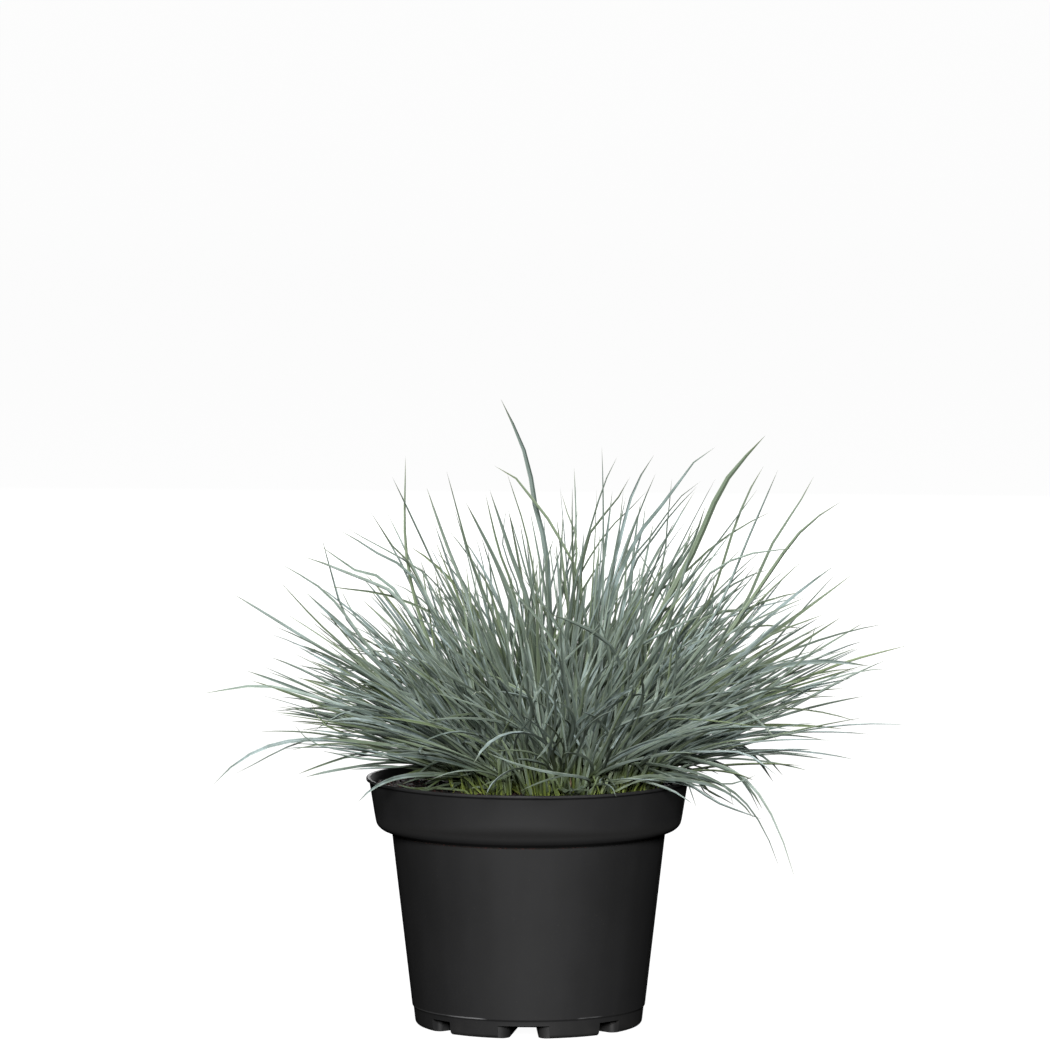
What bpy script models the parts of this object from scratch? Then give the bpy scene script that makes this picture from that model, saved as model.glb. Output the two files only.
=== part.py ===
# Potted blue fescue clump: a grass clump in a round black nursery pot.
# Metres, +Z up. The origin is the centre of the pot's foot, on the ground plane.
import math
import random

import bmesh
import bpy
import numpy as np
from mathutils import Vector

MM = 0.001
SEED = 19
GAP = 0.3 * MM               # clearance between pieces that touch

# Pot, turned about Z: radii and heights of its outer side
POT_HEIGHT = 114.8 * MM
POT_STEPS = 56
WALL = 1.1 * MM
LIP_R = 75.0 * MM
LIP_BAND = 1.3 * MM          # height of the lip's outer band
COLLAR_TOP_R = 73.6 * MM
COLLAR_LOW_R = 70.9 * MM
COLLAR_LOW_Z = 95.5 * MM
SHOULDER_Z = 89.3 * MM       # where the collar's underside meets the body
BODY_TOP_R = 63.3 * MM
BODY_LOW_R = 54.0 * MM
BODY_LOW_Z = 8.8 * MM
FOOT_TOP_R = 53.4 * MM
FOOT_LOW_R = 52.6 * MM
FOOT_EDGE = 1.1 * MM         # rounding of the foot's outer edge
FLOOR_TOP = 7.2 * MM
LIP_INSIDE = 1.6 * MM        # how far in from the lip's edge the inner wall meets its top
LIP_ROUND = 0.9 * MM         # width of the lip's rounded outer edge
LIP_NECK = 0.6 * MM          # drop below the lip over which the collar steps in
COLLAR_CURL = 3.7 * MM       # height over which the collar's underside curls in
CREASE_LIFT = 0.7 * MM       # how much higher the wall's crease is on its inner side
STEP_DROP = 0.7 * MM         # height of the small step between body and foot

# Drainage below the floor
NOTCH_HEIGHT = 6.0 * MM
RING_CHANNEL_HEIGHT = 5.5 * MM
RING_STEPS = 40
BELOW = -1.0 * MM            # how far under the foot the cutters start
CENTRE_FOOT_R = 11.0 * MM    # round foot under the middle, which the origin lies on
RING_CHANNEL_R = 20.0 * MM
WIDE_NOTCH = 23.7 * MM
NARROW_NOTCH = 12.6 * MM
WIDE_CHANNEL = 13.0 * MM
NARROW_CHANNEL = 8.0 * MM
INNER_CHANNEL = 8.4 * MM
CHANNEL_OVERLAP = 4.0 * MM   # how far a channel runs on into the ring channel
NOTCH_TURN = -2.6            # degrees, front notch's bearing from the front
SIDE_NOTCH_BEARING = 47.3    # degrees, narrow notches either side of each wide one
DRAIN_HOLE_R = 4.0 * MM
DRAIN_HOLES = 8
DRAIN_HOLE_SIDES = 12

# Potting soil
SOIL_EDGE_Z = 110.6 * MM
SOIL_MOUND = 0.9 * MM
SOIL_STEPS = 36

# Grass crown and its tillers
CROWN_X = 12.0 * MM
CROWN_R = 31.0 * MM
TILLERS = 48
GOLDEN_ANGLE = math.radians(137.508)
LEAN_MIN = 5.0               # degrees from upright at the middle of the crown
LEAN_MAX = 69.0              # and at its edge
DROOP_MAX = 20.0             # how much further an outer tiller leans at its tip
DROOP_PIVOT = 0.35           # share of its length at which it has its own lean
TILLER_LENGTH = 150.0 * MM
SHORTEST = -0.10             # spread of the tillers' lengths about that one
LONGEST = 0.12
LONG_SIDE = Vector((0.50, 0.05, 0.86))  # way in which the clump has grown longest
LONG_SIDE_EXTRA = 0.21       # how much longer the tillers are that head that way
LONG_SIDE_FOCUS = 6.0        # above 1, fewer tillers share in it
TILLER_BASE_R = 2.2 * MM
TILLER_TIP_R = 0.45 * MM
TILLER_WIDE_R = 6.0 * MM
WIDEST_PAST_MIDDLE = 1.25    # above 1, the widest place moves towards the tip
TAPER = 1.2                  # above 1, both ends are slimmer
TILLER_POINTS = 8

# Long blades that arch over the rim: bearing in degrees from +X, reach from the
# crown's edge, height of the tip, height of the arch's top, bend sideways
ARCHING_BLADES = (
    (-27.0, 85.0, 73.0, 122.0, 3.0),
    (-34.5, 89.0, 81.0, 117.0, -3.0),
    (-9.0, 70.0, 116.0, 129.0, 3.0),
    (-44.0, 91.0, 106.0, 119.0, -3.0),
    (3.0, 59.0, 97.0, 122.0, 2.0),
    (187.0, 122.0, 112.0, 133.0, -4.0),
    (217.0, 78.0, 111.0, 121.0, 3.0),
    (80.0, 92.0, 100.0, 124.0, -6.0),
    (118.0, 84.0, 96.0, 121.0, 4.0),
    (40.0, 96.0, 102.0, 126.0, -4.0),
)
ARCH_START_R = 36.5 * MM
ARCH_START_Z = 2.6 * MM      # above the soil
BLADE_R = 1.1 * MM
BLADE_TIP_R = 0.4 * MM
BLADE_POINTS = 10
REACH_EASE = 1.25            # radians of a sine that slows the reach towards the tip

PLASTIC = ("black_plastic", (0.012, 0.012, 0.013), 0.48)
SOIL = ("peat", (0.016, 0.009, 0.006), 0.95)
LEAF = ("blue_leaf", (0.190, 0.270, 0.255), 0.55)
ARCHING_LEAF = ("silver_leaf", (0.290, 0.350, 0.320), 0.55)


def clear_scene():
    for item in list(bpy.data.objects):
        bpy.data.objects.remove(item, do_unlink=True)


def new_collection(name):
    group = bpy.data.collections.new(name)
    bpy.context.scene.collection.children.link(group)
    return group


def material(spec):
    name, colour, roughness = spec
    made = bpy.data.materials.get(name)
    if made is None:
        made = bpy.data.materials.new(name)
        made.use_nodes = True
        shader = made.node_tree.nodes["Principled BSDF"]
        shader.inputs["Base Color"].default_value = (*colour, 1.0)
        shader.inputs["Roughness"].default_value = roughness
        shader.inputs["Metallic"].default_value = 0.0
    return made


def link(name, data, group, spec=None):
    made = bpy.data.objects.new(name, data)
    group.objects.link(made)
    if spec is not None:
        data.materials.append(material(spec))
    return made


def turned(name, profile, steps, group, spec=None):
    """A profile of (radius, height) points, run round Z. Its outer side runs downwards."""
    mesh = bpy.data.meshes.new(name)
    points = [(radius, 0.0, height) for radius, height in profile]
    edges = [(i, i + 1) for i in range(len(points) - 1)]
    if points[0] == points[-1]:
        points.pop()
        edges[-1] = (len(points) - 1, 0)
    mesh.from_pydata(points, edges, [])
    made = link(name, mesh, group, spec)
    screw = made.modifiers.new("Turn", "SCREW")
    screw.steps = steps
    screw.render_steps = steps
    screw.use_merge_vertices = True
    screw.merge_threshold = 0.00002
    screw.use_smooth_shade = True
    return made


def cutter(name, build, group):
    """A hidden object whose mesh the function build fills in."""
    shape = bmesh.new()
    build(shape)
    bmesh.ops.recalc_face_normals(shape, faces=shape.faces)
    mesh = bpy.data.meshes.new(name)
    shape.to_mesh(mesh)
    shape.free()
    made = link(name, mesh, group)
    made.hide_render = True
    made.display_type = "WIRE"
    return made


def cut(target, tool):
    boolean = target.modifiers.new("Cut " + tool.name, "BOOLEAN")
    boolean.operation = "DIFFERENCE"
    boolean.solver = "EXACT"
    boolean.object = tool


def prism(shape, outline, low, high):
    """Fills shape with a flat outline of (x, y) points, raised from low to high."""
    corners = [shape.verts.new((x, y, low)) for x, y in outline]
    face = shape.faces.new(corners)
    raised = bmesh.ops.extrude_face_region(shape, geom=[face])["geom"]
    lifted = [item for item in raised if isinstance(item, bmesh.types.BMVert)]
    bmesh.ops.translate(shape, verts=lifted, vec=(0.0, 0.0, high - low))


def pot_profile():
    """The pot's section: up the inner side from the floor, over the lip, down the outer side."""
    collar_slope = (COLLAR_TOP_R - COLLAR_LOW_R) / (POT_HEIGHT - LIP_BAND - COLLAR_LOW_Z)
    inner = [
        (0.0, FLOOR_TOP),
        (BODY_LOW_R - 2.0 * WALL, FLOOR_TOP),
        (BODY_LOW_R - WALL, BODY_LOW_Z + 0.5 * WALL),
        (BODY_TOP_R - WALL, SHOULDER_Z + CREASE_LIFT),
        (COLLAR_LOW_R - 2.0 * WALL, COLLAR_LOW_Z - 0.6 * COLLAR_CURL),
        (COLLAR_LOW_R - WALL, COLLAR_LOW_Z + GAP),
        (COLLAR_TOP_R - WALL - collar_slope * LIP_BAND, POT_HEIGHT - 2.4 * LIP_BAND),
        (LIP_R - LIP_INSIDE, POT_HEIGHT - 0.5 * GAP),
    ]
    outer = [
        (LIP_R - LIP_ROUND, POT_HEIGHT),
        (LIP_R - 0.3 * LIP_ROUND, POT_HEIGHT - 0.2 * LIP_ROUND),
        (LIP_R, POT_HEIGHT - 0.7 * LIP_ROUND),
        (LIP_R, POT_HEIGHT - LIP_BAND),
        (COLLAR_TOP_R, POT_HEIGHT - LIP_BAND - LIP_NECK),
        (COLLAR_LOW_R, COLLAR_LOW_Z),
        (COLLAR_LOW_R - 0.2 * COLLAR_CURL, COLLAR_LOW_Z - 0.55 * COLLAR_CURL),
        (COLLAR_LOW_R - 0.55 * COLLAR_CURL, COLLAR_LOW_Z - COLLAR_CURL),
        (BODY_TOP_R, SHOULDER_Z),
        (BODY_LOW_R, BODY_LOW_Z),
        (FOOT_TOP_R, BODY_LOW_Z - STEP_DROP),
        (FOOT_LOW_R, FOOT_EDGE),
        (FOOT_LOW_R - 0.3 * FOOT_EDGE, 0.3 * FOOT_EDGE),
        (FOOT_LOW_R - FOOT_EDGE, 0.0),
        (0.0, 0.0),
    ]
    return inner + outer


def notch_bearings():
    """(bearing from the front in degrees, notch width, channel width) for each notch."""
    found = []
    for wide in (0.0, 180.0):
        found.append((wide + NOTCH_TURN, WIDE_NOTCH, WIDE_CHANNEL))
        for side in (-SIDE_NOTCH_BEARING, SIDE_NOTCH_BEARING):
            found.append((wide + side + NOTCH_TURN, NARROW_NOTCH, NARROW_CHANNEL))
    return found


def channel_outline(bearing, notch, channel):
    """A drainage channel in plan, flaring out to its notch just inside the foot's wall."""
    wall_r = FOOT_LOW_R - 2.0 * WALL
    inner_half = min(INNER_CHANNEL, channel) / 2.0
    flare = (notch - channel) / 2.0
    half = [(RING_CHANNEL_R - CHANNEL_OVERLAP, inner_half)]
    for turn in (0.0, 30.0, 60.0, 90.0):
        angle = math.radians(turn)
        reach = wall_r - flare + flare * math.sin(angle)
        half.append((reach, channel / 2.0 + flare * (1.0 - math.cos(angle))))
    half.append((LIP_R, notch / 2.0))
    angle = math.radians(bearing - 90.0)
    ahead = Vector((math.cos(angle), math.sin(angle)))
    aside = Vector((-math.sin(angle), math.cos(angle)))
    right = [ahead * reach + aside * width for reach, width in half]
    left = [ahead * reach - aside * width for reach, width in reversed(half)]
    return [tuple(point) for point in right + left]


def ring_channel(tools):
    """A square-edged ring round the centre foot, which joins the channels."""
    section = [
        (RING_CHANNEL_R, RING_CHANNEL_HEIGHT),
        (RING_CHANNEL_R, BELOW),
        (CENTRE_FOOT_R, BELOW),
        (CENTRE_FOOT_R, RING_CHANNEL_HEIGHT),
    ]
    ring = turned("ring_channel", section + section[:1], RING_STEPS, tools)
    ring.hide_render = True
    ring.display_type = "WIRE"
    return ring


def build_pot(group, tools):
    pot = turned("nursery_pot", pot_profile(), POT_STEPS, group, PLASTIC)
    cut(pot, ring_channel(tools))
    for i, (bearing, notch, channel) in enumerate(notch_bearings()):
        outline = channel_outline(bearing, notch, channel)
        name = f"channel_{i + 1}"
        cut(pot, cutter(name, lambda shape: prism(shape, outline, BELOW, NOTCH_HEIGHT), tools))
    hole_ring = (CENTRE_FOOT_R + RING_CHANNEL_R) / 2.0
    for i in range(DRAIN_HOLES):
        angle = math.tau * (i + 0.5) / DRAIN_HOLES
        spot = (hole_ring * math.cos(angle), hole_ring * math.sin(angle), FLOOR_TOP)

        def drill(shape):
            bmesh.ops.create_cone(
                shape,
                cap_ends=True,
                segments=DRAIN_HOLE_SIDES,
                radius1=DRAIN_HOLE_R,
                radius2=DRAIN_HOLE_R,
                depth=2.0 * NOTCH_HEIGHT,
            )
            bmesh.ops.translate(shape, verts=shape.verts, vec=spot)

        cut(pot, cutter(f"drain_{i + 1}", drill, tools))
    return pot


def build_soil(group):
    """The root ball, which fills the pot a gap inside its wall, with a slight mound on top."""
    inner = pot_profile()[1:7]
    radii = [radius for radius, _ in inner]
    heights = [height for _, height in inner]
    edge_r = np.interp(SOIL_EDGE_Z, heights, radii)
    profile = [(0.0, SOIL_EDGE_Z + SOIL_MOUND)]
    profile.append((0.6 * edge_r, SOIL_EDGE_Z + 0.8 * SOIL_MOUND))
    profile.append((edge_r - 2.0 * GAP, SOIL_EDGE_Z))
    for radius, height in reversed(inner):
        if height < SOIL_EDGE_Z - LIP_BAND:
            profile.append((radius - 2.0 * GAP, max(height, FLOOR_TOP + GAP)))
    profile.append((0.0, FLOOR_TOP + GAP))
    return turned("potting_soil", profile, SOIL_STEPS, group, SOIL)


def tube(name, points, radii, group, spec):
    """A tapering round solid along points, with closed ends."""
    curve = bpy.data.curves.new(name, "CURVE")
    curve.dimensions = "3D"
    curve.bevel_depth = 1.0
    curve.bevel_resolution = 1
    curve.use_fill_caps = True
    spline = curve.splines.new("POLY")
    spline.points.add(len(points) - 1)
    for point, place, radius in zip(spline.points, points, radii):
        point.co = (*place, 1.0)
        point.radius = radius
    return link(name, curve, group, spec)


def tiller_path(index, rng):
    """A tiller's middle line. It stands up at the crown's middle, and leans and droops at its edge."""
    spread = math.sqrt((index + 0.5) / TILLERS)
    bearing = index * GOLDEN_ANGLE
    cap = 1.0 - math.cos(math.radians(LEAN_MAX))
    even_lean = math.degrees(math.acos(1.0 - spread**2 * cap))
    lean = LEAN_MIN + even_lean * (LEAN_MAX - LEAN_MIN) / LEAN_MAX
    droop = DROOP_MAX * spread**2
    outward = Vector((math.cos(bearing), math.sin(bearing), 0.0))
    heading = outward * math.sin(math.radians(lean)) + Vector((0.0, 0.0, math.cos(math.radians(lean))))
    favour = max(0.0, heading.dot(LONG_SIDE)) ** LONG_SIDE_FOCUS
    length = TILLER_LENGTH * (1.0 + rng.uniform(SHORTEST, LONGEST)) * (1.0 + LONG_SIDE_EXTRA * favour)
    soil_z = SOIL_EDGE_Z + SOIL_MOUND + GAP
    place = Vector((CROWN_X, 0.0, soil_z)) + outward * spread * CROWN_R
    place.z += TILLER_BASE_R * math.sin(math.radians(lean))
    points = [place.copy()]
    step = length / (TILLER_POINTS - 1)
    for i in range(TILLER_POINTS - 1):
        share = (i + 0.5) / (TILLER_POINTS - 1)
        angle = math.radians(lean + droop * (share - DROOP_PIVOT))
        place = place + step * (outward * math.sin(angle) + Vector((0.0, 0.0, math.cos(angle))))
        points.append(place)
    return points


def tiller_radii():
    """Slim at the base, widest past the middle where the blades spread, and pointed."""
    radii = []
    for i in range(TILLER_POINTS):
        share = i / (TILLER_POINTS - 1)
        swell = math.sin(math.pi * share**WIDEST_PAST_MIDDLE) ** TAPER
        base = TILLER_BASE_R * (1.0 - share) + TILLER_TIP_R * share
        radii.append(base + (TILLER_WIDE_R - TILLER_BASE_R) * swell)
    return radii


def arch_path(bearing, reach, tip_z, arch_z, bend):
    """A blade that leaves the crown's edge, rises over the rim and hangs to its tip."""
    angle = math.radians(bearing)
    outward = Vector((math.cos(angle), math.sin(angle), 0.0))
    aside = Vector((-math.sin(angle), math.cos(angle), 0.0))
    start_z = SOIL_EDGE_Z + SOIL_MOUND + ARCH_START_Z
    start = Vector((CROWN_X, 0.0, start_z)) + outward * ARCH_START_R
    points = []
    for i in range(BLADE_POINTS):
        share = i / (BLADE_POINTS - 1)
        rise = 4.0 * share * (1.0 - share) * (arch_z * MM - (start_z + tip_z * MM) / 2.0)
        height = start_z * (1.0 - share) + tip_z * MM * share + rise
        eased = math.sin(share * REACH_EASE) / math.sin(REACH_EASE)
        along = outward * (reach * MM * eased)
        place = start + along + aside * (bend * MM * share**2)
        points.append(Vector((place.x, place.y, height)))
    return points


def build_grass(group):
    rng = random.Random(SEED)
    radii = tiller_radii()
    for index in range(TILLERS):
        tube(f"tiller_{index + 1:02d}", tiller_path(index, rng), radii, group, LEAF)
    shares = [i / (BLADE_POINTS - 1) for i in range(BLADE_POINTS)]
    blade_radii = [BLADE_R + (BLADE_TIP_R - BLADE_R) * share for share in shares]
    for number, row in enumerate(ARCHING_BLADES, start=1):
        tube(f"arching_blade_{number:02d}", arch_path(*row), blade_radii, group, ARCHING_LEAF)


def main():
    clear_scene()
    group = new_collection("potted_blue_fescue")
    tools = new_collection("cutters")
    build_pot(group, tools)
    build_soil(group)
    build_grass(group)


main()
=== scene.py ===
import math

import bpy
import numpy as np
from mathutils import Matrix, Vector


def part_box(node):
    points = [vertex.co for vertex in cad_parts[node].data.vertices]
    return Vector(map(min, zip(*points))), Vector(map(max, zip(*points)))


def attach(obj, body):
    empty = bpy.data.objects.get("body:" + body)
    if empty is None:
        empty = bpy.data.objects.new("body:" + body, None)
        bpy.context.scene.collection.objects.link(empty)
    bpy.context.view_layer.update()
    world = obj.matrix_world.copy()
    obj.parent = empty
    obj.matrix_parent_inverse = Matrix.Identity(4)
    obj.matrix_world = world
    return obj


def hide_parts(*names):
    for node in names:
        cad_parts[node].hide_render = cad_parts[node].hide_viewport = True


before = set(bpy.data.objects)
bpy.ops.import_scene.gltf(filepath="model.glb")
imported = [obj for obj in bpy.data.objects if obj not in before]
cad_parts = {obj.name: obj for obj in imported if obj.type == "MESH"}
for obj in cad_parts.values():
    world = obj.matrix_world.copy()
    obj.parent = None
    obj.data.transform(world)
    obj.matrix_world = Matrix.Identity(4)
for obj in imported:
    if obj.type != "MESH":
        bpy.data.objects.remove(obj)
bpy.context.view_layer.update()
print("frame loaded:", len(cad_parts), "nodes")

mm = 0.001
upward = np.array([0.0, 0.0, 1.0])
level = np.array([1.0, 1.0, 0.0])       # takes the height out of a vector
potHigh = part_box("nursery_pot")[1]
soilLow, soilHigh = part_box("potting_soil")
tillerNodes = sorted(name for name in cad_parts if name.startswith("tiller"))
archNodes = sorted(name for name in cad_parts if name.startswith("arching"))


class Wire:
    # one output of a node; an operator on it adds the Math node for that sum
    def __init__(self, paint, socket):
        self.paint = paint
        self.socket = socket

    def math(self, operation, first, second=0.0):
        return self.paint.add("ShaderNodeMath", {"operation": operation}, [first, second])

    def __add__(self, other):
        return self.math("ADD", self, other)

    def __radd__(self, other):
        return self.math("ADD", other, self)

    def __sub__(self, other):
        return self.math("SUBTRACT", self, other)

    def __rsub__(self, other):
        return self.math("SUBTRACT", other, self)

    def __mul__(self, other):
        return self.math("MULTIPLY", self, other)

    def __rmul__(self, other):
        return self.math("MULTIPLY", other, self)

    def __truediv__(self, other):
        return self.math("DIVIDE", self, other)

    def __rtruediv__(self, other):
        return self.math("DIVIDE", other, self)

    def __pow__(self, other):
        return self.math("POWER", self, other)

    def __gt__(self, other):
        return self.math("GREATER_THAN", self, other)

    def __abs__(self):
        return self.math("ABSOLUTE", self)


class Paint:
    # a material and its nodes
    def __init__(self, name, **sameAllOver):
        self.material = bpy.data.materials.new(name)
        self.material.use_nodes = True
        self.tree = self.material.node_tree
        self.shader = self.tree.nodes["Principled BSDF"]
        for key, value in sameAllOver.items():
            self.feed(self.shader.inputs[key.replace("_", " ")], value)

    def feed(self, socket, value):
        if isinstance(value, Wire):
            self.tree.links.new(value.socket, socket)
        elif socket.type == "RGBA":
            socket.default_value = (*value, 1.0)
        else:
            socket.default_value = value

    def add(self, kind, settings, inputs, output=0):
        node = self.tree.nodes.new(kind)
        for key, value in settings.items():
            setattr(node, key, value)
        pairs = inputs.items() if isinstance(inputs, dict) else enumerate(inputs)
        for key, value in pairs:
            self.feed(node.inputs[key], value)
        return Wire(self, node.outputs[output])

    def wear(self, **inputs):
        for key, value in inputs.items():
            self.feed(self.shader.inputs[key.replace("_", " ")], value)
        return self.material

    def place(self, scale=(1.0, 1.0, 1.0)):
        where = self.add("ShaderNodeTexCoord", {}, {}, "Object")
        return self.add("ShaderNodeMapping", {}, {"Vector": where, "Scale": scale})

    def parts(self, vector):
        node = self.tree.nodes.new("ShaderNodeSeparateXYZ")
        self.feed(node.inputs[0], vector)
        return [Wire(self, socket) for socket in node.outputs]

    def join(self, x, y, z):
        return self.add("ShaderNodeCombineXYZ", {}, [x, y, z])

    def noise(self, vector, scale, detail=2.0, roughness=0.5):
        inputs = {"Vector": vector, "Scale": scale, "Detail": detail, "Roughness": roughness}
        return self.add("ShaderNodeTexNoise", {}, inputs)

    def ease(self, value, low, high):
        return self.add("ShaderNodeMapRange", {"interpolation_type": "SMOOTHSTEP"},
                        [value, low, high, 0.0, 1.0])

    def blend(self, share, first, second):
        return self.add("ShaderNodeMix", {"data_type": "RGBA"}, {0: share, 6: first, 7: second}, 2)

    def attribute(self, name):
        return self.add("ShaderNodeAttribute", {"attribute_name": name}, {}, "Fac")

    def bump(self, height, distance, strength=1.0):
        return self.add("ShaderNodeBump", {}, {"Height": height, "Distance": distance,
                                               "Strength": strength})


def newPiece(name, mesh, paint=None, nodes=()):
    piece = bpy.data.objects.new(name, mesh)
    bpy.context.scene.collection.objects.link(piece)
    if paint is not None:
        mesh.materials.append(paint)
    if nodes:
        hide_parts(*nodes)
    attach(piece, "root")
    return piece


def meshFrom(name, points, faces, smooth=True):
    # points (n, 3) and faces as a list of index arrays, each array of one face size
    mesh = bpy.data.meshes.new(name)
    corners = np.concatenate([block.ravel() for block in faces]).astype(np.int32)
    sizes = np.concatenate([np.full(len(block), block.shape[1]) for block in faces])
    starts = np.concatenate([[0], np.cumsum(sizes)[:-1]]).astype(np.int32)
    mesh.vertices.add(len(points))
    mesh.vertices.foreach_set("co", points.astype(np.float32).ravel())
    mesh.loops.add(len(corners))
    mesh.loops.foreach_set("vertex_index", corners)
    mesh.polygons.add(len(sizes))
    mesh.polygons.foreach_set("loop_start", starts)
    mesh.polygons.foreach_set("use_smooth", np.full(len(sizes), smooth))
    mesh.update(calc_edges=True)
    mesh.validate()
    return mesh


def unit(vectors):
    return vectors / np.maximum(np.linalg.norm(vectors, axis=-1, keepdims=True), 1e-12)


def gridQuads(index):
    # faces between neighbouring rows of a grid of point numbers, closed round its first axis
    after = np.roll(index, -1, axis=0)
    quads = np.stack([index[:, :-1], index[:, 1:], after[:, 1:], after[:, :-1]], -1)
    return quads.reshape(-1, 4), after


def smooth(value, low, high):
    # 0 below low, 1 above high, and an S-shaped rise 3t^2 - 2t^3 between
    share = np.clip((value - low) / (high - low), 0.0, 1.0)
    return share * share * (3.0 - 2.0 * share)


view = {
    "place": (-0.0017, -3.455, 0.520),
    "tilt": 85.23,          # degrees up from straight down
    "lens": 257.4,
    "world": 0.018,
    "bowl": (7.0, 11.0, 9.0),   # where the floor starts to rise, its edge, its height there
    "floorGlow": 0.965,
    "floorColour": 0.12,
    "floorSteps": 96,
}
# name: place, where it points, side lengths, watts
lamps = {
    "keyLight": ((-0.06, -2.70, 1.00), (0.0, 0.0, 0.14), (0.7, 0.7), 136.0),
    "topLight": ((-0.25, -0.45, 2.1), (0.0, 0.0, 0.1), (0.8, 0.8), 34.0),
    "backLight": ((0.3, 2.8, 1.0), (0.0, 0.0, 0.14), (1.2, 1.2), 78.0),
}


def setView():
    camera = bpy.data.cameras.new("camera")
    camera.lens = view["lens"]
    camera.sensor_width = 36.0
    camera.clip_end = 100.0
    holder = bpy.data.objects.new("camera", camera)
    holder.location = view["place"]
    holder.rotation_euler = (math.radians(view["tilt"]), 0.0, 0.0)
    bpy.context.scene.collection.objects.link(holder)
    bpy.context.scene.camera = holder


def setLamps():
    for name, (place, aim, sides, watts) in lamps.items():
        lamp = bpy.data.lights.new(name, "AREA")
        lamp.shape = "RECTANGLE"
        lamp.size, lamp.size_y = sides
        lamp.energy = watts
        holder = bpy.data.objects.new(name, lamp)
        holder.location = place
        away = np.array(place) - np.array(aim)
        flat = math.hypot(away[0], away[1])
        holder.rotation_euler = (math.atan2(flat, away[2]), 0.0,
                                 math.atan2(away[1], away[0]) + math.pi / 2.0)
        bpy.context.scene.collection.objects.link(holder)
    world = bpy.data.worlds.new("studio")
    world.use_nodes = True
    glow = world.node_tree.nodes["Background"]
    glow.inputs["Color"].default_value = (1.0, 1.0, 1.0, 1.0)
    glow.inputs["Strength"].default_value = view["world"]
    world.cycles_visibility.glossy = False      # so the plastic's sides stay dark
    bpy.context.scene.world = world
    bpy.context.scene.view_settings.view_transform = "Standard"


def setFloor():
    # a round floor that rises all round: height = top * smoothstep of the distance from the middle
    turn = np.linspace(0.0, 2.0 * np.pi, view["floorSteps"], endpoint=False)[:, None]
    flatR, edgeR, top = view["bowl"]
    reach = np.concatenate([[0.001, 0.5, 2.0, 4.5], np.linspace(flatR, edgeR, 14)])[None]
    height = top * smooth(reach, flatR, edgeR * 1.3) + 0.0 * turn
    points = np.stack([reach * np.cos(turn), reach * np.sin(turn), height], -1)
    index = np.arange(points.shape[0] * points.shape[1]).reshape(points.shape[:2])
    quads, _ = gridQuads(index)
    mesh = meshFrom("floor", points.reshape(-1, 3), [quads, index[None, :, 0]])
    colour, glow = view["floorColour"], view["floorGlow"]
    paint = Paint("paleFloor", Base_Color=(colour, colour, colour), Roughness=0.9,
                  Emission_Color=(1.0, 1.0, 1.0), Emission_Strength=glow)
    paint.shader.inputs["Specular IOR Level"].default_value = 0.0
    floor = bpy.data.objects.new("floor", mesh)
    mesh.materials.append(paint.material)
    bpy.context.scene.collection.objects.link(floor)
    # it is seen, and takes shadows, but neither lights the plant nor shows in the plastic
    floor.visible_diffuse = False
    floor.visible_glossy = False
    floor.visible_transmission = False
    floor.visible_shadow = False


leafLook = {
    "bloom": (0.330, 0.405, 0.412),      # waxy blue-grey of the inner face
    "bloomDeep": (0.082, 0.112, 0.098),
    "green": (0.125, 0.165, 0.080),      # blades that have lost their wax
    "back": (0.150, 0.190, 0.140),       # the outer face
    "edge": (0.430, 0.490, 0.380),
    "deep": (0.024, 0.040, 0.014),       # old blades in the clump's heart, and painted shade there between the leaves
    "heart": (0.074, 0.050, 0.102),      # half sizes of the heart, in metres
    "heartPlace": (0.012, 0.008, 0.108),
    "sheath": (0.135, 0.170, 0.022),
    "olive": (0.072, 0.100, 0.020),      # lower part of the blade and the crown: their own olive, made darker as painted shade deep in the clump
    "straw": (0.380, 0.330, 0.130),
    "withered": (0.340, 0.240, 0.165),
    "tip": (0.130, 0.145, 0.070),
    "roughness": 0.48,
    "heartShadeShare": 0.85,
    "topShadeShare": 0.34,           # how far the top of the clump is darkened, as painted shade
    "toneShare": 0.80,          # how far the darkest blade goes to the deep wax colour
    "footShare": 0.86,
    "limeShare": 0.85,
    "crownRadius": (0.086, 0.062),
    "crownHeight": (0.142, 0.112),
}


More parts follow.
